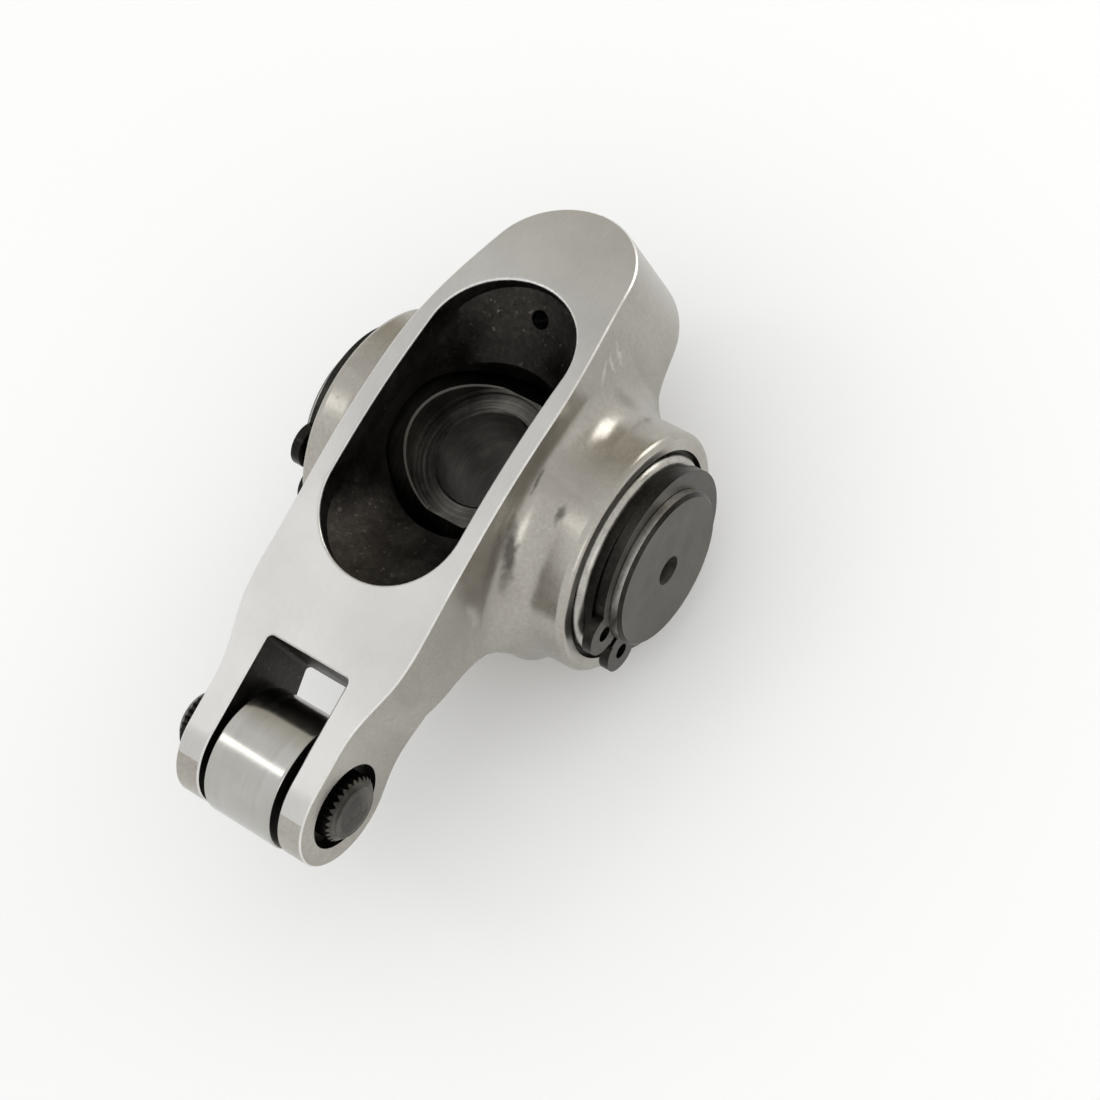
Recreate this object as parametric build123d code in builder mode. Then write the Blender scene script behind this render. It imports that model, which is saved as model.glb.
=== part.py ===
from build123d import *
import os
from math import acos, asin, atan2, cos, degrees, hypot, pi, radians, sin

os.makedirs("parts", exist_ok=True)

# Roller rocker arm. The origin is on the trunnion's axis in the middle of the arm,
# +X runs to the roller nose, +Y to the right boss, +Z up along the stud. Millimetres.

# Trunnion, its stud hole and the nut's seat
journal_r = 7.9375
trunnion_half = 19.0
trunnion_land = 1.1
mid_gap = 0.32
stud_hole_r = 4.85
nut_seat_r = 7.1
nut_seat_z = 7.2
seat_step = 0.35
seat_break = 0.2
centre_drill_r = 1.5
centre_drill_depth = 3.5
end_chamfer = 0.35

# Needle bearings
running_gap = 0.02
needle_r = 0.794
cup_wall = 0.755
cup_width = 6.35
cup_end_round = 0.8
cup_lip_wall = 0.7
cup_lip_gap = 0.35
cup_stand_out = 0.45
needle_end_gap = 0.15

# Thrust washers and circlips
washer_rim = 1.46
washer_t = 0.75
side_gap = 0.05
clip_t = 1.0
clip_groove_depth = 0.6
clip_thin = 1.5
clip_thick = 2.5
clip_ear_r = 2.2
clip_eye_r = 0.8
clip_eye_lift = 0.96
clip_eye_angle = 18.5
clip_mouth = 0.9
clip_turn = {"right": -3.0, "left": 24.0}

# Body, side view
crown_r = 72.4
crown_x = 0.67
crown_z = 17.56
tip_x = 34.5
tip_z = 7.5
ear_wall = 2.9
arch_x = 24.4
arch_z = 5.8
belly_z = -13.2
tail_bottom_z = -0.5
tail_root_z = -2.0
neck_root_z = 1.55
neck_blend = 8.0
tail_blend = 4.0
footprint_rim = 1.5
ear_foot_back = 1.5
ear_foot_lift = 0.2
under_edge_r = 0.7
outline_break = 0.15
tail_overrun = 1.5

# Body, top view
flank_y = 9.22
flank_front_x = 15.0
flank_back_x = -3.0
neck_x = 24.0
neck_y = 8.95
ear_y = 7.45
ear_start_x = 31.5
tail_r = 7.44
tail_x = -16.7
tail_arc_from = 100.0
tail_lean = 5.3

# Body, bosses
boss_wall = 2.08
boss_root_share = 0.65
boss_edge_r = 0.8
recess_gap = 0.5
recess_depth = 0.6

# Pocket under the window, and the slot for the stud below it
window_half_y = 7.35
window_front_x = 17.05
window_back_x = -14.85
window_wall_z = 14.5
window_rim_r = 0.25
well_r = 9.0
well_z = 9.0
stud_slot_half_y = 6.5
stud_slot_half_x = 9.0
stud_slot_corner_r = 6.0

# Fork, roller and axle
slot_side_gap = 0.8
slot_back_gap = 3.1
slot_corner_r = 0.6
roller_r = 6.35
roller_half_y = 3.9
roller_edge_r = 0.25
axle_r = 3.3
axle_left_reach = 2.85
axle_right_reach = 1.15
axle_edge = 0.7
knurl_teeth = 28
knurl_depth = 0.22
knurl_left_length = 5.7
knurl_right_length = 4.0
eye_gap = 1.0
eye_depth = 1.3

# Pushrod cup and oil hole
cup_x = -19.55
insert_wall = 0.73
insert_top_z = 6.2
insert_bottom_z = -1.0
ball_r = 3.97
oil_hole_r = 0.95
oil_exit_x = -12.5
oil_exit_z = 13.2

# Sizes that follow
clip_y = trunnion_half - trunnion_land - clip_t
washer_y = clip_y - side_gap - washer_t
cup_end_y = washer_y - side_gap
cup_inner_y = cup_end_y - cup_width
race_r = journal_r + 2 * running_gap + 2 * needle_r
cup_r = race_r + cup_wall
needle_pitch_r = journal_r + running_gap + needle_r
needle_count = int(pi / asin(needle_r / needle_pitch_r))
needle_length = cup_width - 2 * cup_lip_wall - 2 * needle_end_gap
washer_r = journal_r + washer_rim
clip_seat_r = journal_r - clip_groove_depth
clip_eye_pitch_r = journal_r + clip_eye_lift
trunnion_mid_r = cup_r - mid_gap
mid_half = cup_inner_y - mid_gap
boss_r = cup_r + boss_wall
boss_y = cup_end_y - cup_stand_out
boss_root_r = boss_root_share * (boss_y - boss_edge_r - flank_y)
footprint_r = boss_r + footprint_rim
ear_r = axle_r + ear_wall
reach = tip_x + 2 * ear_r
ear_foot_x = tip_x - ear_foot_back
ear_foot_z = tip_z - ear_r + ear_foot_lift
sides = {"right": 1, "left": -1}
overrun = 1.0
near = 0.02
crown_drop = hypot(tip_x - crown_x, tip_z - crown_z + crown_r)
nose_turn = degrees(
    atan2(tip_z - crown_z + crown_r, tip_x - crown_x) + acos((crown_r - ear_r) / crown_drop)
)
tail_edge_x = tail_x - tail_overrun * tail_r
tail_turn = degrees(acos((tail_edge_x - crown_x) / crown_r))
lean_way = (sin(radians(tail_lean)), 0, cos(radians(tail_lean)))
eye_r = axle_r + eye_gap
slot_half_y = roller_half_y + slot_side_gap
slot_back_x = tip_x - roller_r - slot_back_gap
axle_left_y = -(ear_y + axle_left_reach)
axle_right_y = ear_y + axle_right_reach
insert_r = ball_r + insert_wall
oil_entry = Vector(cup_x, 0, insert_bottom_z + ball_r)
oil_exit = Vector(oil_exit_x, 0, oil_exit_z)
oil_plane = Plane(origin=oil_entry, z_dir=oil_exit - oil_entry)
oil_length = (oil_exit - oil_entry).length


# Rocker body: the top view, thick enough for the bosses to blend into its flanks
with BuildPart() as rocker_body:
    with BuildSketch(Plane.XY.offset(crown_z)):
        with BuildLine():
            nose_corner = (reach, ear_y)
            tail_arc = CenterArc((tail_x, 0), tail_r, tail_arc_from, 180 - tail_arc_from)
            Spline(
                tail_arc @ 0,
                (flank_back_x, flank_y),
                tangents=[(sin(radians(tail_arc_from)), -cos(radians(tail_arc_from))), (1, 0)],
            )
            Line((flank_back_x, flank_y), (flank_front_x, flank_y))
            Spline(
                (flank_front_x, flank_y),
                (neck_x, neck_y),
                (ear_start_x, ear_y),
                tangents=[(1, 0), (1, 0)],
            )
            Line((ear_start_x, ear_y), nose_corner)
            Line(nose_corner, (nose_corner[0], 0))
            Line((nose_corner[0], 0), tail_arc @ 1)
        make_face()
        mirror(about=Plane.XZ)
    extrude(amount=reach, dir=lean_way, both=True)

    with BuildSketch(Plane.XZ):
        Circle(boss_r)
    extrude(amount=boss_y, both=True)
    roots = (
        rocker_body.edges()
        .filter_by_position(Axis.Y, -boss_y + boss_edge_r, boss_y - boss_edge_r)
        .filter_by(lambda e: all(abs(hypot(v.X, v.Z) - boss_r) < near for v in [e @ 0, e @ 0.5, e @ 1]))
        .filter_by(lambda e: abs((e @ 0.5).Y) > flank_y / 2)
    )
    fillet(roots, boss_root_r)
    rims = rocker_body.edges().filter_by(GeomType.CIRCLE).filter_by(
        lambda e: abs(abs(e.center().Y) - boss_y) < near
    )
    fillet(rims, boss_edge_r)

    # The side view cuts the crown, the ears, the underside and the round under the bosses
    with BuildSketch(Plane.XZ) as side_view:
        with BuildLine():
            crown = CenterArc((crown_x, crown_z - crown_r), crown_r, nose_turn, tail_turn - nose_turn)
            ear_top = PolarLine((tip_x, tip_z), ear_r, nose_turn)
            Line(crown @ 0, ear_top @ 1)
            Polyline(
                ear_top @ 0,
                (ear_foot_x, ear_foot_z),
                (arch_x, arch_z),
                (0, neck_root_z),
                (0, tail_root_z),
                (tail_edge_x, tail_bottom_z),
                crown @ 1,
            )
        make_face()
        with Locations((tip_x, tip_z)):
            Circle(ear_r)
        Circle(footprint_r)
        fillet(side_view.vertices().sort_by_distance((footprint_r, neck_root_z, 0))[0], neck_blend)
        fillet(side_view.vertices().sort_by_distance((-footprint_r, tail_root_z, 0))[0], tail_blend)
    extrude(amount=boss_y, both=True, mode=Mode.INTERSECT)
    tail_underside = rocker_body.faces().sort_by_distance((cup_x, 0, tail_bottom_z))[0]
    fillet(tail_underside.edges().sort_by(Axis.X)[:-1], under_edge_r)
    flank_top = rocker_body.edges().sort_by_distance((0, flank_y, crown_z))[0]
    chamfer(flank_top, outline_break)

    # Flat belly
    with BuildSketch(Plane.XY.offset(belly_z)):
        Rectangle(2 * reach, 4 * boss_y)
    extrude(amount=-reach, mode=Mode.SUBTRACT)

    # Pocket: a stadium at the top that runs down into a round well
    window_mid = (window_front_x + window_back_x) / 2
    window_length = window_front_x - window_back_x
    with BuildSketch(Plane.XY.offset(window_wall_z)) as window:
        with Locations((window_mid, 0)):
            SlotOverall(window_length, 2 * window_half_y)
    extrude(amount=reach, mode=Mode.SUBTRACT)
    with BuildSketch(Plane.XY.offset(window_wall_z)):
        with Locations((window_mid, 0)):
            SlotOverall(window_length, 2 * window_half_y)
    with BuildSketch(Plane.XY.offset(well_z)):
        Circle(well_r)
    loft(mode=Mode.SUBTRACT)
    with BuildSketch(Plane.XY):
        Circle(well_r)
    extrude(amount=well_z, mode=Mode.SUBTRACT)

    window_rim = (
        rocker_body.edges()
        .filter_by_position(Axis.X, window_back_x - near, window_front_x + near)
        .filter_by_position(Axis.Y, -window_half_y - near, window_half_y + near)
        .filter_by(lambda e: min((e @ 0).Z, (e @ 1).Z) > window_wall_z + near)
    )
    fillet(window_rim, window_rim_r)

    # Slot for the stud, through the belly
    with BuildSketch(Plane.XY):
        RectangleRounded(2 * stud_slot_half_x, 2 * stud_slot_half_y, stud_slot_corner_r)
    extrude(amount=belly_z - overrun, mode=Mode.SUBTRACT)

    # Cross bore for the two bearings, with a shallow recess at each face
    with BuildSketch(Plane.XZ):
        Circle(cup_r)
    extrude(amount=boss_y + overrun, both=True, mode=Mode.SUBTRACT)
    for side in sides.values():
        with BuildSketch(Plane.XZ.offset(-side * (boss_y - recess_depth))):
            Circle(cup_r + recess_gap)
        extrude(amount=-side * 2 * recess_depth, mode=Mode.SUBTRACT)

    # Fork, axle bore and the eye round the axle's right end
    with BuildSketch(Plane.XY.offset(-reach)):
        with Locations((slot_back_x, 0)):
            RectangleRounded(
                2 * reach, 2 * slot_half_y, slot_corner_r, align=(Align.MIN, Align.CENTER)
            )
    extrude(amount=3 * reach, mode=Mode.SUBTRACT)
    slot_top = rocker_body.edges().sort_by_distance((slot_back_x, 0, crown_z))[0]
    chamfer(slot_top, outline_break)
    with BuildSketch(Plane.XZ):
        with Locations((tip_x, tip_z)):
            Circle(axle_r)
    extrude(amount=boss_y, both=True, mode=Mode.SUBTRACT)
    with BuildSketch(Plane.XZ.offset(-(ear_y - eye_depth))):
        with Locations((tip_x, tip_z)):
            Circle(eye_r)
    extrude(amount=-boss_y, mode=Mode.SUBTRACT)

    # Seat of the pushrod cup, and the oil hole that runs from it into the pocket
    with BuildSketch(Plane.XY.offset(insert_top_z)):
        with Locations((cup_x, 0)):
            Circle(insert_r)
    extrude(amount=-reach, mode=Mode.SUBTRACT)
    with BuildSketch(oil_plane):
        Circle(oil_hole_r)
    extrude(amount=oil_length + overrun, mode=Mode.SUBTRACT)


# Trunnion: turned shaft with a thick middle, counterbored for the adjusting nut
with BuildPart() as trunnion:
    with BuildSketch(Plane.XY):
        with BuildLine():
            Polyline(
                (0, 0),
                (trunnion_mid_r, 0),
                (trunnion_mid_r, mid_half),
                (journal_r, mid_half),
                (journal_r, clip_y),
                (clip_seat_r, clip_y),
                (clip_seat_r, clip_y + clip_t + side_gap),
                (journal_r, clip_y + clip_t + side_gap),
                (journal_r, trunnion_half - end_chamfer),
                (journal_r - end_chamfer, trunnion_half),
                (0, trunnion_half),
                close=True,
            )
        make_face()
        mirror(about=Plane.XZ)
    revolve(axis=Axis.Y)
    with BuildSketch(Plane.XY.offset(nut_seat_z)):
        Circle(nut_seat_r)
    extrude(amount=trunnion_mid_r, mode=Mode.SUBTRACT)
    with BuildSketch(Plane.XY.offset(nut_seat_z - seat_step)):
        Circle(nut_seat_r - seat_step)
    extrude(amount=seat_step, mode=Mode.SUBTRACT)
    with BuildSketch(Plane.XY.offset(-trunnion_mid_r)):
        Circle(stud_hole_r)
    extrude(amount=2 * trunnion_mid_r, mode=Mode.SUBTRACT)
    seat_rims = trunnion.edges().filter_by(GeomType.BSPLINE).filter_by(
        lambda e: (e @ 0.5).Z > nut_seat_z and abs(hypot((e @ 0.5).X, (e @ 0.5).Y) - nut_seat_r) < near
    )
    chamfer(seat_rims, seat_break)
    stud_rim = (
        trunnion.edges()
        .filter_by(GeomType.CIRCLE)
        .sort_by_distance((stud_hole_r, 0, nut_seat_z - seat_step))[0]
    )
    chamfer(stud_rim, seat_break)
    for side in sides.values():
        with BuildSketch(Plane.XZ.offset(-side * (trunnion_half - centre_drill_depth))):
            Circle(centre_drill_r)
        extrude(amount=-side * centre_drill_depth, mode=Mode.SUBTRACT)


# Bearings, washers and circlips, alike on both sides
for side_name, side in sides.items():
    with BuildPart() as bearing_cup:
        with BuildSketch(Plane.XY) as cup_section:
            with BuildLine():
                Polyline(
                    (journal_r + cup_lip_gap, side * cup_end_y),
                    (cup_r, side * cup_end_y),
                    (cup_r, side * cup_inner_y),
                    (journal_r + cup_lip_gap, side * cup_inner_y),
                    (journal_r + cup_lip_gap, side * (cup_inner_y + cup_lip_wall)),
                    (race_r, side * (cup_inner_y + cup_lip_wall)),
                    (race_r, side * (cup_end_y - cup_lip_wall)),
                    (journal_r + cup_lip_gap, side * (cup_end_y - cup_lip_wall)),
                    close=True,
                )
            make_face()
            fillet(
                cup_section.vertices().sort_by_distance((cup_r, side * cup_end_y, 0))[0], cup_end_round
            )
        revolve(axis=Axis.Y)
    bearing_cup.part.label = f"bearing_cup_{side_name}"
    export_step(bearing_cup.part, f"parts/bearing_cup_{side_name}.step")

    with BuildPart() as needles:
        needle_start_y = cup_inner_y + cup_lip_wall + needle_end_gap
        with BuildSketch(Plane.XZ.offset(-side * needle_start_y)):
            with PolarLocations(needle_pitch_r, needle_count):
                Circle(needle_r)
        extrude(amount=-side * needle_length)
    needles.part.label = f"needles_{side_name}"
    export_step(needles.part, f"parts/needles_{side_name}.step")

    with BuildPart() as thrust_washer:
        with BuildSketch(Plane.XZ.offset(-side * washer_y)):
            Circle(washer_r)
            Circle(journal_r + running_gap, mode=Mode.SUBTRACT)
        extrude(amount=-side * washer_t)
    thrust_washer.part.label = f"thrust_washer_{side_name}"
    export_step(thrust_washer.part, f"parts/thrust_washer_{side_name}.step")

    with BuildPart() as circlip:
        clip_inner_r = clip_seat_r + running_gap
        clip_outer_r = clip_inner_r + (clip_thin + clip_thick) / 2
        turn = clip_turn[side_name]
        with BuildSketch(Plane.XZ.offset(-side * clip_y)):
            with PolarLocations((clip_thin - clip_thick) / 2, 1, start_angle=turn):
                Circle(clip_outer_r)
            ears = PolarLocations(
                clip_eye_pitch_r, 2, start_angle=turn - clip_eye_angle, angular_range=4 * clip_eye_angle
            )
            with ears:
                Circle(clip_ear_r)
            Circle(clip_inner_r, mode=Mode.SUBTRACT)
            with ears:
                Circle(clip_eye_r, mode=Mode.SUBTRACT)
            with PolarLocations(clip_outer_r, 1, start_angle=turn):
                Rectangle(clip_outer_r, clip_mouth, mode=Mode.SUBTRACT)
        extrude(amount=-side * clip_t)
    circlip.part.label = f"circlip_{side_name}"
    export_step(circlip.part, f"parts/circlip_{side_name}.step")


# Tip roller
with BuildPart() as tip_roller:
    with BuildSketch(Plane.XZ.offset(-roller_half_y)):
        with Locations((tip_x, tip_z)):
            Circle(roller_r)
            Circle(axle_r + running_gap, mode=Mode.SUBTRACT)
    extrude(amount=2 * roller_half_y)
    fillet(tip_roller.edges().filter_by(GeomType.CIRCLE).group_by(SortBy.RADIUS)[-1], roller_edge_r)


# Tip axle, with straight teeth at both pressed ends
with BuildPart() as tip_axle:
    with BuildSketch(Plane.XZ.offset(-axle_right_y)):
        with Locations((tip_x, tip_z)):
            Circle(axle_r)
    extrude(amount=axle_right_y - axle_left_y)
    chamfer(tip_axle.edges().filter_by(GeomType.CIRCLE), axle_edge)
    for end_y, length in ((axle_left_y, -knurl_left_length), (axle_right_y, knurl_right_length)):
        with BuildSketch(Plane.XZ.offset(-end_y)):
            with Locations((tip_x, tip_z)):
                with PolarLocations(axle_r, knurl_teeth):
                    Rectangle(2 * knurl_depth, 2 * knurl_depth, rotation=45)
        extrude(amount=length, mode=Mode.SUBTRACT)


# Pushrod cup, pressed in from below
with BuildPart() as pushrod_cup:
    with BuildSketch(Plane.XY.offset(insert_bottom_z)):
        with Locations((cup_x, 0)):
            Circle(insert_r)
    extrude(amount=insert_top_z - insert_bottom_z)
    with Locations((cup_x, 0, insert_bottom_z)):
        Sphere(ball_r, mode=Mode.SUBTRACT)
    with BuildSketch(oil_plane):
        Circle(oil_hole_r)
    extrude(amount=oil_length, both=True, mode=Mode.SUBTRACT)


for name, piece in (
    ("rocker_body", rocker_body),
    ("trunnion", trunnion),
    ("tip_roller", tip_roller),
    ("tip_axle", tip_axle),
    ("pushrod_cup", pushrod_cup),
):
    piece.part.label = name
    export_step(piece.part, f"parts/{name}.step")
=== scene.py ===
from math import hypot, pi, radians

import bmesh
import bpy
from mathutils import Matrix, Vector


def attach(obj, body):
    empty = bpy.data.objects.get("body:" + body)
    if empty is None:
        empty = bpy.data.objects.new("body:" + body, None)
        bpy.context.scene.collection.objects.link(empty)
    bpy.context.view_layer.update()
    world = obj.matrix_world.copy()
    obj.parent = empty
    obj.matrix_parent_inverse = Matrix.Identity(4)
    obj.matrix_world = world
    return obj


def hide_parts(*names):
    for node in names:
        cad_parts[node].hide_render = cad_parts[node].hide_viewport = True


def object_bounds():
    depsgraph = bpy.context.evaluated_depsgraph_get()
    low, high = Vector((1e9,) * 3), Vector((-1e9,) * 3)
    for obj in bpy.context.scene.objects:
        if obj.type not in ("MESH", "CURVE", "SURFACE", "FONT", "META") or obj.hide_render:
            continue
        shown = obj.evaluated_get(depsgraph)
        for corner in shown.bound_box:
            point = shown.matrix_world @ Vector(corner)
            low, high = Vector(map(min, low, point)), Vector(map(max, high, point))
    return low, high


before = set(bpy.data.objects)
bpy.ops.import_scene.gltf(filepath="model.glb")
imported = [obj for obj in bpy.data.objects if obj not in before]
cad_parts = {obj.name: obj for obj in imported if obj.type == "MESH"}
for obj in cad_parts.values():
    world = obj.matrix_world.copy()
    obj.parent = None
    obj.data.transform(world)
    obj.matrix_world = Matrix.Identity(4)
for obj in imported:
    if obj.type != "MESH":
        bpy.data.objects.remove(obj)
cad_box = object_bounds()

# Roller rocker arm. The solids bring every shape. This script gives them true edges and finishes,
# a studio and the photograph's camera. Sizes are in millimetres, and MM makes them metres.
MM = 0.001

# Camera of the photograph, in the object's frame
CAMERA_PLACE = (40.97, 97.78, 195.9)
CAMERA_TURN_DEG = (21.6275, 15.6971, 123.1473)
CAMERA_LENS = 75.2575
CAMERA_SENSOR = 36.0

# The arm's top in the side view: a crown, a straight nose and the round of the ears
CROWN_R = 72.4
CROWN_MID = (0.67, -54.84)
NOSE_START = (10.06, 16.95)
NOSE_NORMAL = (0.1297, 0.9916)
EAR_START_X = 35.3
EAR_R = 6.2
TOP_HALF_Y = 9.4
BROKEN_EDGE = 0.25
BELT_END_X = 38.1

# Pocket under the window, with the wider well that the trunnion turns in
WINDOW_FRONT_X = 17.05
WINDOW_BACK_X = -14.85
WINDOW_HALF_Y = 7.35
WELL_R = 9.0
POCKET_FLOOR_Z = 12.0
UNDERSIDE_Z = -13.1

# Bosses: bearing bore, recess and the ring round them
CUP_R = 10.32
BOSS_R = 12.4
BOSS_Y = 15.6
BORE_REACH = 0.7
RECESS_DEPTH = 1.0
RING_DEPTH = 0.3
RING_EDGE = 0.5

# Fork with the roller, and the eye round the axle's right end
TIP = (34.5, 7.5)
SLOT_BACK_X = 25.05
SLOT_HALF_Y = 4.7
EYE_R = 4.3

# Pushrod cup under the tail, and the oil hole that rises from it
CUP_X = -19.55
CUP_SEAT_R = 4.7
CUP_SEAT_Z = (-0.5, 7.0)
OIL_START = Vector((CUP_X, 0.0, 2.97))
OIL_END = Vector((-12.5, 0.0, 13.2))
OIL_REACH = 1.2

# Trunnion: round middle with the nut's seat and the stud's hole, journals, ends with centre holes
TRUNNION_R = 10.0
MIDDLE_HALF_Y = 9.4
END_Y = 19.0
END_BREAK = 0.6
CLIP_OUTER_Y = 17.9
DRILL_R = 1.5
DRILL_BREAK = 0.5
STUD_HOLE_R = 4.85
SEAT_RIM_R = 7.2
SEAT_RIM_HALF = 0.2
SEAT_RIM_Z = 6.5
SEAT_CUT = 0.25

# Room for the flats of a meshed round, and for a face that lies just on a limit
NEAR = 0.1
JUST = 0.05

# A wall looks in when its direction times its distance from the middle comes to more than this
LOOKS_IN = 0.05

# How far a face looks one way, from 0 for across it to 1 for straight along it
SLIGHTLY = 0.3
HALF = 0.5
MOSTLY = 0.85
MAINLY = 0.9
FULLY = 0.97

# Meshed solids: corners closer than this are joined, and edges sharper than this stay sharp
WELD = 0.002
SHARP_EDGE = radians(26)

# Nearly all of a noise lies between these
NOISE_LOW = 0.36
NOISE_HIGH = 0.64

# How far the tool's rings wander along a shaft, so that they aren't quite true
RING_DRIFT = 0.25

# Waves of a polished casting
WAVE_WIDTH = 6.67

# Streaks drawn out and leaning with the arm's flank: a painted dark reflection on the polished cast
# steel, pale scrapes on the axle's end
STREAK_WIDTH = 5.88
STREAK_TURN = (0, radians(35), 0)
STREAK_STRETCH = (1.0, 0.6, 0.35)

# Pits that the casting kept: their cells, the groups they come in, their depth and their darker
# colour
PIT_CELL = 1.92
PIT_GROUP = 4.76
PIT_DEPTH = 0.06
PIT_DARK_TONE = "3E3A34"

# Ragged edge of a mark along a line: the width of its tatters and how far they reach
TATTER_WIDTH = 1.11
TATTER_REACH = 1.2

# Paler specks: where a dark skin is rubbed through, and on walls painted dark as shade
SPECK_WIDTH = 0.667

# Half the floor's width
FLOOR_HALF = 3000.0


def linear(hex_code):
    """A colour written as sRGB hex, as the linear values that a shader takes."""
    levels = [int(hex_code[i:i + 2], 16) / 255 for i in (0, 2, 4)]
    return [v / 12.92 if v <= 0.04045 else ((v + 0.055) / 1.055) ** 2.4 for v in levels] + [1.0]


def per(size):
    """Scale of a pattern whose grains or lines are this many millimetres wide."""
    return 1 / (size * MM)


def add(tree, kind, feeds=None, stops=(), **settings):
    """Adds a node with its settings. A feed is a node, an output or a value for an input. A stop is
    a ramp's place from 0 to 1 with a grey level or a hex colour."""
    node = tree.nodes.new(kind)
    for name, value in settings.items():
        if name in node.bl_rna.properties:
            setattr(node, name, value)
        else:
            node.inputs[name.replace("_", " ")].default_value = value
    for name, source in (feeds or {}).items():
        if isinstance(source, bpy.types.Node):
            source = source.outputs[0]
        if isinstance(source, bpy.types.NodeSocket):
            tree.links.new(source, node.inputs[name])
        elif source is not None:
            node.inputs[name].default_value = source
    if stops:
        elements = node.color_ramp.elements
        while len(elements) < len(stops):
            elements.new(0.5)
        for element, (at, tone) in zip(elements, stops):
            element.position = at
            element.color = linear(tone) if isinstance(tone, str) else (tone, tone, tone, 1.0)
    return node


def tool_marks(tree, place, lay):
    """Coordinates stretched along the way the tool ran, so that noise on them draws its marks."""
    kind, first, second = lay
    if kind == "straight":
        return add(tree, "ShaderNodeMapping", {"Vector": place, "Rotation": first, "Scale": second})
    centre, across = Vector(first) * MM, second
    moved = add(tree, "ShaderNodeVectorMath", {0: place, 1: centre}, operation="SUBTRACT")
    flat = add(tree, "ShaderNodeVectorMath", {0: moved, 1: across}, operation="MULTIPLY")
    radius = add(tree, "ShaderNodeVectorMath", {0: flat}, operation="LENGTH").outputs["Value"]
    parts = add(tree, "ShaderNodeSeparateXYZ", {"Vector": moved})
    along = parts.outputs["Y" if across[1] == 0 else "Z"]
    swing = add(tree, "ShaderNodeVectorMath", {0: flat}, operation="NORMALIZE")
    slow = add(tree, "ShaderNodeSeparateXYZ", {"Vector": swing})
    drift = add(tree, "ShaderNodeMath", {0: slow, 1: RING_DRIFT * MM}, operation="MULTIPLY")
    return add(tree, "ShaderNodeCombineXYZ", {"X": radius, "Y": along, "Z": drift})


def wear_and_painted_shade_marks(tree, place, colour, marks):
    """Darker and brighter marks on a casting, each along a line, with a soft and ragged edge. They
    are spots and scratches, and painted shade and dark reflection.
    """
    rag = add(tree, "ShaderNodeTexNoise", {"Vector": place}, Scale=per(TATTER_WIDTH), Detail=3.0)
    reach = Vector((TATTER_REACH, TATTER_REACH, TATTER_REACH)) * MM
    shake = add(tree, "ShaderNodeVectorMath", {0: rag.outputs["Color"], 1: reach, 2: -reach / 2},
                operation="MULTIPLY_ADD")
    ragged = add(tree, "ShaderNodeVectorMath", {0: place, 1: shake}, operation="ADD")
    for tone, strength, half_width, start, end in marks:
        start, end = Vector(start), Vector(end)
        run = end - start
        size = Vector((run.length / 2 + half_width, half_width, half_width))
        local = add(tree, "ShaderNodeMapping",
                    {"Vector": ragged, "Location": (start + run / 2) * MM,
                     "Rotation": run.to_track_quat("X", "Z").to_euler(), "Scale": size * MM},
                    vector_type="TEXTURE")
        off = add(tree, "ShaderNodeVectorMath", {0: local}, operation="LENGTH").outputs["Value"]
        share = add(tree, "ShaderNodeValToRGB", {"Fac": off}, [(0.35, strength), (1.0, 0.0)])
        colour = add(tree, "ShaderNodeMix", {"Factor": share, 6: colour, 7: linear(tone)},
                     data_type="RGBA").outputs[2]
    return colour


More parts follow.
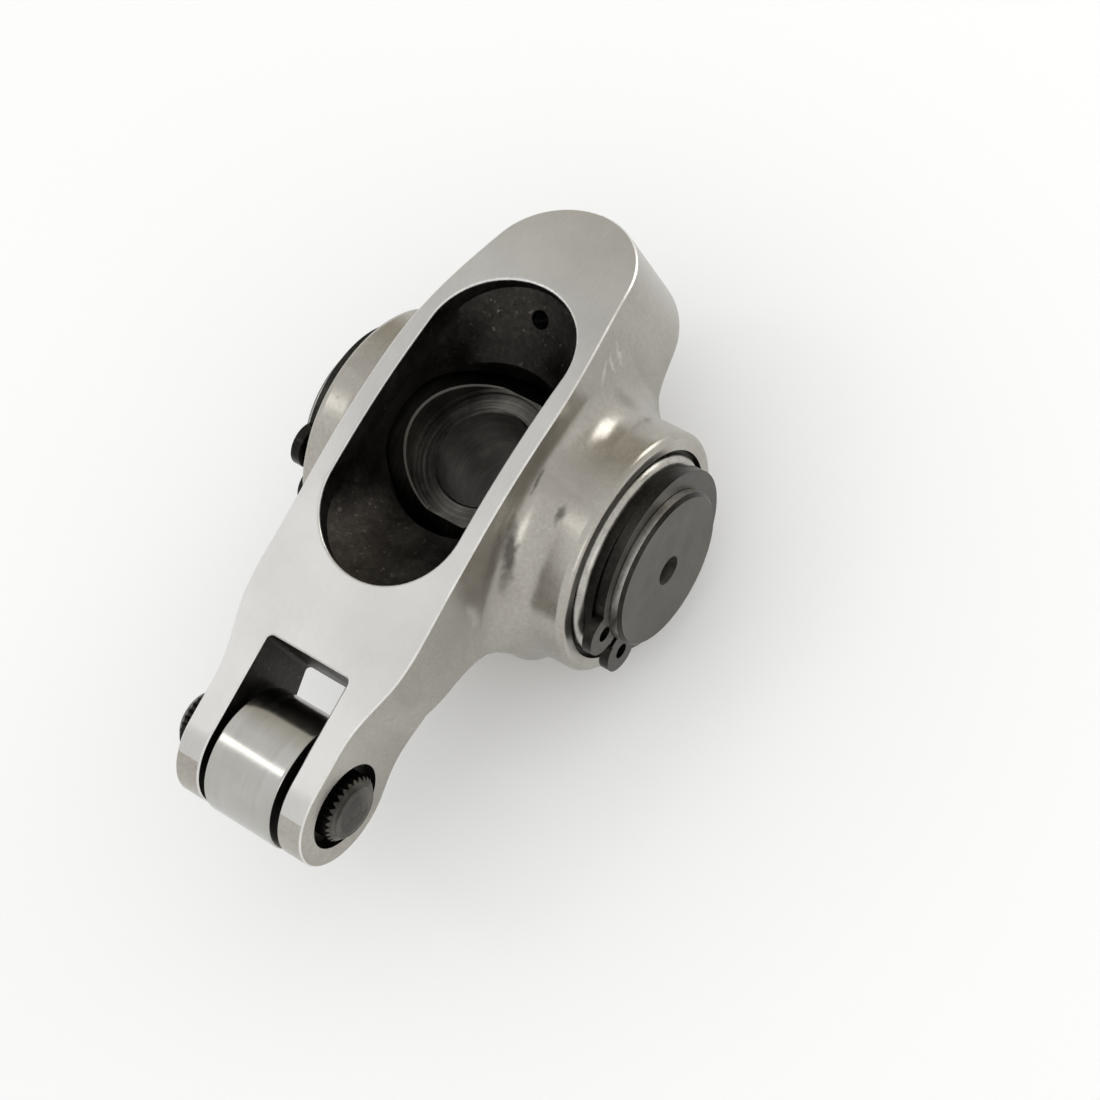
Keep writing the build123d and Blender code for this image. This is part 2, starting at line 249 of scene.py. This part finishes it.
def metal(name, tones, rough, cloud=5.56, lay=None, marks=(1.11, 0.02), skin=(0.417, 0.015),
          wave=0.0, pits=0.0, streaks=None, wear_and_shade_marks=(), rubs=None):
    """One metal finish: cloudy tones, tool marks, a grained and wavy skin, pits, streaks and rubs.
    On the cast steel the streaks and some marks along lines are painted dark reflection and shade.

    cloud is the clouds' width. marks and skin are a spacing and a depth, wave is a depth, and pits
    is the share of the skin that has pits. rubs is a colour and the share rubbed to it."""
    material = bpy.data.materials.new(name)
    material.use_nodes = True
    tree = material.node_tree
    tree.nodes.clear()
    place = add(tree, "ShaderNodeTexCoord").outputs["Object"]

    stain = add(tree, "ShaderNodeTexNoise", {"Vector": place}, Scale=per(cloud), Detail=4.0,
                Roughness=0.6)
    grain = add(tree, "ShaderNodeTexNoise", {"Vector": place}, Scale=per(skin[0]), Detail=3.0,
                Roughness=0.65)
    lines = None
    if lay:
        lines = add(tree, "ShaderNodeTexNoise", {"Vector": tool_marks(tree, place, lay)},
                    Scale=per(marks[0]), Detail=5.0, Roughness=0.7)
    shades = add(tree, "ShaderNodeMix", {2: stain, 3: lines or grain}, data_type="FLOAT",
                 Factor=0.4)
    step = (NOISE_HIGH - NOISE_LOW) / (len(tones) - 1)
    colour = add(tree, "ShaderNodeValToRGB", {"Fac": shades},
                 [(NOISE_LOW + step * i, tone) for i, tone in enumerate(tones)])
    gloss = add(tree, "ShaderNodeMapRange", {"Value": lines or stain}, From_Min=0.3, From_Max=0.7,
                To_Min=rough[0], To_Max=rough[1])
    if streaks:
        drawn = add(tree, "ShaderNodeMapping", {"Vector": place}, Rotation=STREAK_TURN,
                    Scale=STREAK_STRETCH)
        swirl = add(tree, "ShaderNodeTexNoise", {"Vector": drawn}, Scale=per(STREAK_WIDTH),
                    Detail=3.0, Roughness=0.5, Distortion=0.6)
        share = add(tree, "ShaderNodeValToRGB", {"Fac": swirl}, [(0.5, 0.0), (0.74, 1.0)])
        colour = add(tree, "ShaderNodeMix", {"Factor": share, 6: colour, 7: linear(streaks)},
                     data_type="RGBA").outputs[2]

    normal = None
    if wave:
        swell = add(tree, "ShaderNodeTexNoise", {"Vector": place}, Scale=per(WAVE_WIDTH),
                    Detail=1.5, Roughness=0.4)
        normal = add(tree, "ShaderNodeBump", {"Height": swell}, Strength=1.0, Distance=wave * MM)
    if lines:
        normal = add(tree, "ShaderNodeBump", {"Height": lines, "Normal": normal}, Strength=0.6,
                     Distance=marks[1] * MM)
    normal = add(tree, "ShaderNodeBump", {"Height": grain, "Normal": normal}, Strength=0.6,
                 Distance=skin[1] * MM)
    if pits:
        cells = add(tree, "ShaderNodeTexVoronoi", {"Vector": place}, Scale=per(PIT_CELL),
                    Randomness=1.0)
        hole = add(tree, "ShaderNodeValToRGB", {"Fac": cells.outputs["Distance"]},
                   [(0.06, 1.0), (0.14, 0.0)])
        group = add(tree, "ShaderNodeTexNoise", {"Vector": place}, Scale=per(PIT_GROUP), Detail=2.0)
        where = add(tree, "ShaderNodeValToRGB", {"Fac": group},
                    [(1.0 - pits - 0.04, 0.0), (1.0 - pits + 0.04, 1.0)])
        pitted = add(tree, "ShaderNodeMath", {0: hole, 1: where}, operation="MULTIPLY")
        normal = add(tree, "ShaderNodeBump", {"Height": pitted, "Normal": normal}, Strength=0.7,
                     Distance=PIT_DEPTH * MM, invert=True)
        colour = add(tree, "ShaderNodeMix", {"Factor": pitted, 6: colour, 7: linear(PIT_DARK_TONE)},
                     data_type="RGBA").outputs[2]
    if wear_and_shade_marks:
        colour = wear_and_painted_shade_marks(tree, place, colour, wear_and_shade_marks)
    if rubs:
        bare, share = rubs
        scuff = add(tree, "ShaderNodeTexNoise", {"Vector": place}, Scale=per(SPECK_WIDTH),
                    Detail=5.0, Roughness=0.8)
        worn = add(tree, "ShaderNodeValToRGB", {"Fac": scuff},
                   [(1.0 - share, 0.0), (1.05 - share, 1.0)])
        colour = add(tree, "ShaderNodeMix", {"Factor": worn, 6: colour, 7: linear(bare)},
                     data_type="RGBA").outputs[2]

    shader = add(tree, "ShaderNodeBsdfPrincipled",
                 {"Base Color": colour, "Roughness": gloss, "Normal": normal}, Metallic=1.0)
    add(tree, "ShaderNodeOutputMaterial", {"Surface": shader})
    return material


# How the tools ran: in rings about a shaft, or straight along the top. Rings have a centre and the
# ways that lie across the shaft. Straight marks have a turn and a stretch.
ROUND_Y = ("rings", (0, 0, 0), (1, 0, 1))
ROUND_Z = ("rings", (0, 0, 0), (1, 1, 0))
ROUND_TIP = ("rings", (TIP[0], 0, TIP[1]), (1, 0, 1))
ALONG_TOP = ("straight", (0, 0, radians(-62)), (1.0, 9.0, 1.0))

# Marks on the right flank: colour, strength, half width and the two ends. The first list is a
# painted dark reflection with painted shade beside it, where the flank runs into the boss's front.
PAINTED_DARK_REFLECTION = [("403D39", 0.85, 1.0, (5.2, 9.4, 14.2), (10.6, 9.95, 9.0)),
               ("66635D", 0.5, 1.5, (5.4, 9.2, 15.6), (11.6, 9.3, 10.8))]
# Two small dark marks, then painted shade in the crease where the flank meets the boss behind
SPOTS_AND_ROOT_SHADE = [("4E4B45", 0.75, 0.55, (1.9, 12.1, 12.4), (3.2, 12.1, 12.05)),
         ("4E4B45", 0.75, 0.35, (-0.2, 9.5, 14.6), (2.6, 9.5, 14.3)),
         ("6F6C65", 0.45, 1.2, (-10.6, 9.3, 9.0), (-11.2, 9.9, 6.9))]
SCRATCHES = [("D2CFC8", 0.5, 0.4, (-13.9, 8.1, 13.5), (-13.1, 8.3, 9.8)),
             ("D2CFC8", 0.5, 0.35, (-12.6, 8.4, 13.8), (-11.9, 8.5, 10.6)),
             ("D2CFC8", 0.45, 0.4, (-11.7, 8.5, 13.5), (-10.0, 8.8, 12.5)),
             ("D2CFC8", 0.4, 0.8, (13.7, 9.2, 12.0), (14.2, 9.2, 8.3))]

# Grit lines, lathe rings and grain are finer on the real piece. They are drawn as coarse as they
# need to show at the photograph's size.

# Investment-cast stainless steel, tumbled and polished: a soft wavy mirror with clouds and pits.
# Its streaks are a painted dark reflection, and its marks on the right flank include painted dark
# reflection and shade.
cast = metal("polished_cast_stainless", ("99958D", "A6A29A", "B2AFA7"), (0.2, 0.32), cloud=14.3,
             skin=(0.385, 0.0025), wave=0.09, pits=0.36, streaks="96928A",
             wear_and_shade_marks=PAINTED_DARK_REFLECTION + SPOTS_AND_ROOT_SHADE + SCRATCHES)
# The same steel faced on a belt: pale satin with fine straight scratches
brushed = metal("brushed_stainless", ("B6B5B2", "BFBEBB", "C8C7C4"), (0.32, 0.42), cloud=16.7,
                lay=ALONG_TOP, marks=(1.11, 0.009), skin=(0.333, 0.004))
# The same steel on the top's broken edges, painted paler as a highlight: a thin bright line
painted_edge_highlight = metal("edge_highlight_painted", ("CDCBC7", "D8D6D2", "E2E0DD"), (0.28, 0.4), cloud=3.33)
# Walls of the pocket, holes, slot and recesses, left as cast and painted dark as their shade: dull
# and rough, with small paler specks
painted_shade_wall = metal("cast_wall_painted_shade", ("2B2926", "3A3734", "484540"), (0.4, 0.58), cloud=3.85,
                   skin=(0.588, 0.03), rubs=("6C675E", 0.4))
# Stainless steel faced on a lathe: fine bright rings about the bearing's bore
faced = metal("turned_stainless_face", ("A29E96", "B0ACA4", "BDBAB3"), (0.24, 0.36), lay=ROUND_Y,
              marks=(0.455, 0.008))
# Phosphated turned steel of the trunnion's ends: an even dark grey without gloss
grey_end = metal("phosphated_turned_steel", ("57554F", "62605A", "6D6A65"), (0.4, 0.55),
                 lay=ROUND_Y, marks=(0.385, 0.006), skin=(0.278, 0.02))
# Blackened turned steel of the nut's seat: black with the tool's deep grey rings
black_seat = metal("blackened_turned_steel", ("33312E", "504E4A", "7A7771"), (0.26, 0.42),
                   lay=ROUND_Z, marks=(0.476, 0.09))
# The same steel on the trunnion's round middle, turned about its own axis
black_round = metal("blackened_turned_middle", ("2E2C29", "403E3A", "5A5751"), (0.3, 0.44),
                    lay=ROUND_Y, marks=(0.476, 0.03))
# Bored steel of the stud's hole: bare between the tool's rings
bored = metal("bored_steel", ("77746E", "979590", "B9B6B0"), (0.3, 0.44), lay=ROUND_Z,
              marks=(0.476, 0.09))
# Ground journals and needles: bright, with hardly any line
ground = metal("ground_steel", ("96938C", "B0ADA6", "C6C3BD"), (0.18, 0.3), lay=ROUND_Y,
               marks=(0.385, 0.006))
# Ground roller: smooth enough to show a narrow band of light
roller_steel = metal("ground_roller_steel", ("A9A7A2", "B0AFAA", "B7B6B2"), (0.15, 0.21),
                     lay=ROUND_TIP, marks=(0.769, 0.001), skin=(0.278, 0.003))
# Flat sides of the roller, darker than its rim: dark grey with faint rings
roller_side = metal("dark_roller_side", ("4A4843", "575550", "66635D"), (0.34, 0.5), lay=ROUND_TIP,
                    marks=(0.556, 0.01))
# Drawn steel of the bearing's and the pushrod's cups: bare, with a fine grain. The trunnion's lands
# and centre holes look the same.
cup_steel = metal("drawn_bearing_steel", ("94918A", "ACA9A2", "BFBCB6"), (0.26, 0.4), cloud=2.0,
                  skin=(0.3125, 0.02))
# Oiled black oxide of washers, axle and the circlips' edges: glossy black, worn grey in specks. On
# the trunnion it is painted shade on the centre holes' floors and the ends' chamfers.
black_oxide_and_shade = metal("oiled_black_oxide_with_painted_shade", ("1F1E1C", "2B2A27", "3A3834"), (0.26, 0.42),
                   skin=(0.333, 0.012), rubs=("5F5B54", 0.27))
# Phosphated spring steel of the circlips' faces: dark grey, rubbed pale in specks
clip_steel = metal("phosphated_spring_steel", ("3E3C39", "4E4C48", "5F5D58"), (0.28, 0.42),
                   skin=(0.3125, 0.015), rubs=("8A8780", 0.24))
# The axle's end, oxidised after turning and scuffed by the press: rings and pale scrapes
axle_end = metal("scuffed_black_axle_end", ("262420", "3C3A36", "625F59"), (0.3, 0.46),
                 lay=ROUND_TIP, marks=(0.667, 0.06), streaks="76726B")


def smooth_copy(node):
    """A copy of a solid's mesh with its triangles joined and its true edges kept sharp."""
    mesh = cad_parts[node].data.copy()
    mesh.name = node + "_skin"
    # The stored normals belong to loose triangles and would crease the joined ones
    stored = mesh.attributes.get("custom_normal")
    if stored:
        mesh.attributes.remove(stored)
    shape = bmesh.new()
    shape.from_mesh(mesh)
    bmesh.ops.remove_doubles(shape, verts=shape.verts, dist=WELD * MM)
    bmesh.ops.dissolve_degenerate(shape, edges=shape.edges, dist=WELD * MM)
    for face in shape.faces:
        face.smooth = True
    shape.to_mesh(mesh)
    shape.free()
    mesh.materials.clear()
    mesh.set_sharp_from_angle(angle=SHARP_EDGE)
    piece = bpy.data.objects.new(node + "_skin", mesh)
    bpy.context.scene.collection.objects.link(piece)
    weighted = piece.modifiers.new("face_weighted", "WEIGHTED_NORMAL")
    weighted.keep_sharp = True
    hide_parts(node)
    return piece


def paint(piece, finishes, choose=None):
    """Gives a piece its finishes, and each face the one that choose names for it by the face's
    middle in millimetres and its outward direction."""
    for finish in finishes:
        piece.data.materials.append(finish)
    if choose:
        for face in piece.data.polygons:
            x, y, z = face.center / MM
            face.material_index = finishes.index(choose(x, y, z, face.normal))


def crown(x, z):
    """Depth under the arm's top in the side view, and the top's outward direction there."""
    if NOSE_START[0] <= x < EAR_START_X:
        depth = (NOSE_START[0] - x) * NOSE_NORMAL[0] + (NOSE_START[1] - z) * NOSE_NORMAL[1]
        return depth, NOSE_NORMAL
    middle, radius = (CROWN_MID, CROWN_R) if x < NOSE_START[0] else (TIP, EAR_R)
    reach = hypot(x - middle[0], z - middle[1])
    return radius - reach, ((x - middle[0]) / reach, (z - middle[1]) / reach)


def off_line(point, start, end):
    """Distance from a point to the stretch between two others."""
    way = end - start
    share = min(max((point - start).dot(way) / way.length_squared, 0.0), 1.0)
    return (point - start - share * way).length


def in_pocket(x, y, z, n):
    """Whether a face is in the pocket: on its floor, or on a wall that looks to its middle."""
    along = min(max(x, WINDOW_BACK_X + WINDOW_HALF_Y), WINDOW_FRONT_X - WINDOW_HALF_Y)
    is_wall = n.x * (along - x) - n.y * y > LOOKS_IN
    is_floor = n.z > HALF and z < POCKET_FLOOR_Z
    return hypot(x - along, y) < WELL_R + NEAR and (is_wall or is_floor) and z > UNDERSIDE_Z


def body_finish(x, y, z, n):
    """Belt marks on top with painted highlights on its edges, painted shade on the walls inside,
    faced rings, cast skin elsewhere.
    """
    depth, up = crown(x, z)
    if depth < BROKEN_EDGE and abs(y) < TOP_HALF_Y:
        # Faces on the top's broken edges take a painted highlight
        if n.x * up[0] + n.z * up[1] < MOSTLY:
            return painted_edge_highlight
        return brushed if x < BELT_END_X else cast
    # The oil hole, the pocket, the bore behind the cup, the recess's floor, the slot, the eye and
    # the pushrod cup's sides are painted dark as their shade
    if off_line(Vector((x, y, z)), OIL_START, OIL_END) < OIL_REACH or in_pocket(x, y, z, n):
        return painted_shade_wall
    off_axis = hypot(x, z)
    if off_axis < CUP_R + BORE_REACH and abs(y) < BOSS_Y + JUST and n.x * x + n.z * z < -LOOKS_IN:
        return painted_shade_wall
    if off_axis < BOSS_R - RING_EDGE and abs(y) > BOSS_Y - RECESS_DEPTH and abs(n.y) > MAINLY:
        return faced if abs(y) > BOSS_Y - RING_DEPTH else painted_shade_wall
    in_fork = x > SLOT_BACK_X - NEAR and abs(y) < SLOT_HALF_Y + JUST
    in_eye = hypot(x - TIP[0], z - TIP[1]) < EYE_R + NEAR and y > 0
    by_cup = hypot(x - CUP_X, y) < CUP_SEAT_R + NEAR and CUP_SEAT_Z[0] < z < CUP_SEAT_Z[1]
    return painted_shade_wall if in_fork or in_eye or (by_cup and n.z < HALF) else cast


def trunnion_finish(x, y, z, n):
    """Finish of the stud's hole, the round middle, the ends, the journals and the nut's seat."""
    if hypot(x, y) < STUD_HOLE_R + JUST and abs(n.z) < SLIGHTLY:
        return bored
    outward = (n.x * x + n.z * z) / TRUNNION_R
    if abs(y) < MIDDLE_HALF_Y + NEAR and outward > FULLY:
        return black_round
    if abs(y) > CLIP_OUTER_Y and abs(n.y) > FULLY:
        return grey_end
    if abs(y) > MIDDLE_HALF_Y - NEAR:
        # In the centre hole the floor is painted black as its shade; the walls are drawn steel
        if hypot(x, z) < DRILL_R + DRILL_BREAK:
            return black_oxide_and_shade if abs(n.y) > HALF else cup_steel
        # The end's chamfer is painted black as its shade
        if abs(y) > END_Y - END_BREAK and abs(n.y) > SLIGHTLY:
            return black_oxide_and_shade
        return cup_steel if abs(y) > CLIP_OUTER_Y - NEAR else ground
    on_rim = abs(hypot(x, y) - SEAT_RIM_R) < SEAT_RIM_HALF and z > SEAT_RIM_Z
    return grey_end if on_rim and hypot(x, z) > TRUNNION_R - SEAT_CUT else black_seat


def turned(flats, rest):
    """Chooses one finish for a ring's or roller's flat sides and another for the rest."""
    return lambda x, y, z, n: flats if abs(n.y) > MAINLY else rest


def axle_finish(x, y, z, n):
    """The axle's right end shows its scuffed face. Its knurl and left end are black."""
    return axle_end if n.y > HALF else black_oxide_and_shade


body = smooth_copy("rocker_body")
paint(body, [cast, brushed, painted_shade_wall, faced, painted_edge_highlight], body_finish)
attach(body, "arm")

trunnion = smooth_copy("trunnion")
trunnion_finishes = [black_seat, ground, grey_end, black_oxide_and_shade, bored, cup_steel, black_round]
paint(trunnion, trunnion_finishes, trunnion_finish)
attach(trunnion, "trunnion")

for side in ("left", "right"):
    cup = smooth_copy("bearing_cup_" + side)
    paint(cup, [cup_steel])
    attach(cup, "arm")
    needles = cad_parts["needles_" + side].data
    needles.materials.clear()
    needles.materials.append(ground)
    washer = smooth_copy("thrust_washer_" + side)
    paint(washer, [black_oxide_and_shade])
    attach(washer, "trunnion")
    clip = smooth_copy("circlip_" + side)
    paint(clip, [black_oxide_and_shade, clip_steel], turned(clip_steel, black_oxide_and_shade))
    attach(clip, "trunnion")

roller = smooth_copy("tip_roller")
paint(roller, [roller_steel, roller_side], turned(roller_side, roller_steel))
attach(roller, "roller")
axle = smooth_copy("tip_axle")
paint(axle, [black_oxide_and_shade, axle_end], axle_finish)
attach(axle, "arm")
socket = smooth_copy("pushrod_cup")
paint(socket, [cup_steel])
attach(socket, "arm")


def pale_floor():
    """A wide matt floor under the arm, almost white."""
    mesh = bpy.data.meshes.new("floor")
    shape = bmesh.new()
    bmesh.ops.create_grid(shape, x_segments=1, y_segments=1, size=FLOOR_HALF * MM)
    bmesh.ops.translate(shape, verts=shape.verts, vec=(0, 0, cad_box[0][2]))
    shape.to_mesh(mesh)
    shape.free()
    floor = bpy.data.objects.new("floor", mesh)
    bpy.context.scene.collection.objects.link(floor)
    material = bpy.data.materials.new("pale_floor")
    material.use_nodes = True
    shader = material.node_tree.nodes["Principled BSDF"]
    shader.inputs["Base Color"].default_value = linear("F8F8F7")
    shader.inputs["Roughness"].default_value = 1.0
    floor.data.materials.append(material)


def studio_world():
    """A white room, which mirrors show with a darker, warmer side behind the tail."""
    world = bpy.data.worlds.new("studio")
    bpy.context.scene.world = world
    world.use_nodes = True
    tree = world.node_tree
    tree.nodes.clear()
    mirrored = add(tree, "ShaderNodeLightPath").outputs["Is Glossy Ray"]
    way = add(tree, "ShaderNodeTexCoord").outputs["Generated"]
    side = add(tree, "ShaderNodeSeparateXYZ", {"Vector": way}).outputs["X"]
    turn = add(tree, "ShaderNodeMapRange", {"Value": side}, From_Min=-0.85, From_Max=-0.35)
    shade = add(tree, "ShaderNodeValToRGB", {"Fac": turn}, [(0.0, "CBC5B8"), (1.0, "FFFFFF")])
    tone = add(tree, "ShaderNodeMix", {"Factor": mirrored, 6: linear("FFFFFF"), 7: shade},
               data_type="RGBA").outputs[2]
    room = add(tree, "ShaderNodeBackground", {"Color": tone}, Strength=1.0)
    add(tree, "ShaderNodeOutputWorld", {"Surface": room})


def softbox(name, place, size, radiance):
    """An area lamp that faces the arm; its place and size are in millimetres."""
    lamp = bpy.data.lights.new(name, "AREA")
    lamp.shape = "RECTANGLE"
    lamp.size = size[0] * MM
    lamp.size_y = size[1] * MM
    lamp.energy = radiance * pi * lamp.size * lamp.size_y
    light = bpy.data.objects.new(name, lamp)
    light.location = Vector(place) * MM
    light.rotation_euler = (-light.location).to_track_quat("-Z", "Y").to_euler()
    bpy.context.scene.collection.objects.link(light)


def photo_camera():
    """The photograph's camera, fitted to the arm."""
    data = bpy.data.cameras.new("photo_camera")
    data.sensor_width = CAMERA_SENSOR
    data.lens = CAMERA_LENS
    data.clip_start = 10.0 * MM
    camera = bpy.data.objects.new("photo_camera", data)
    camera.location = Vector(CAMERA_PLACE) * MM
    camera.rotation_euler = [radians(turn) for turn in CAMERA_TURN_DEG]
    bpy.context.scene.collection.objects.link(camera)
    bpy.context.scene.camera = camera


pale_floor()
studio_world()
# The narrow band on the roller and the bright mark on the left boss
softbox("boss_softbox", (115, -262, 452), (80, 130), 2.4)
# The bright spot where the right boss meets the tail
softbox("root_softbox", (-470, 170, 85), (230, 200), 3.2)
# The soft light along the neck's right flank
softbox("neck_softbox", (120, 420, 60), (90, 130), 1.8)
photo_camera()

bpy.context.scene.view_settings.view_transform = "Standard"
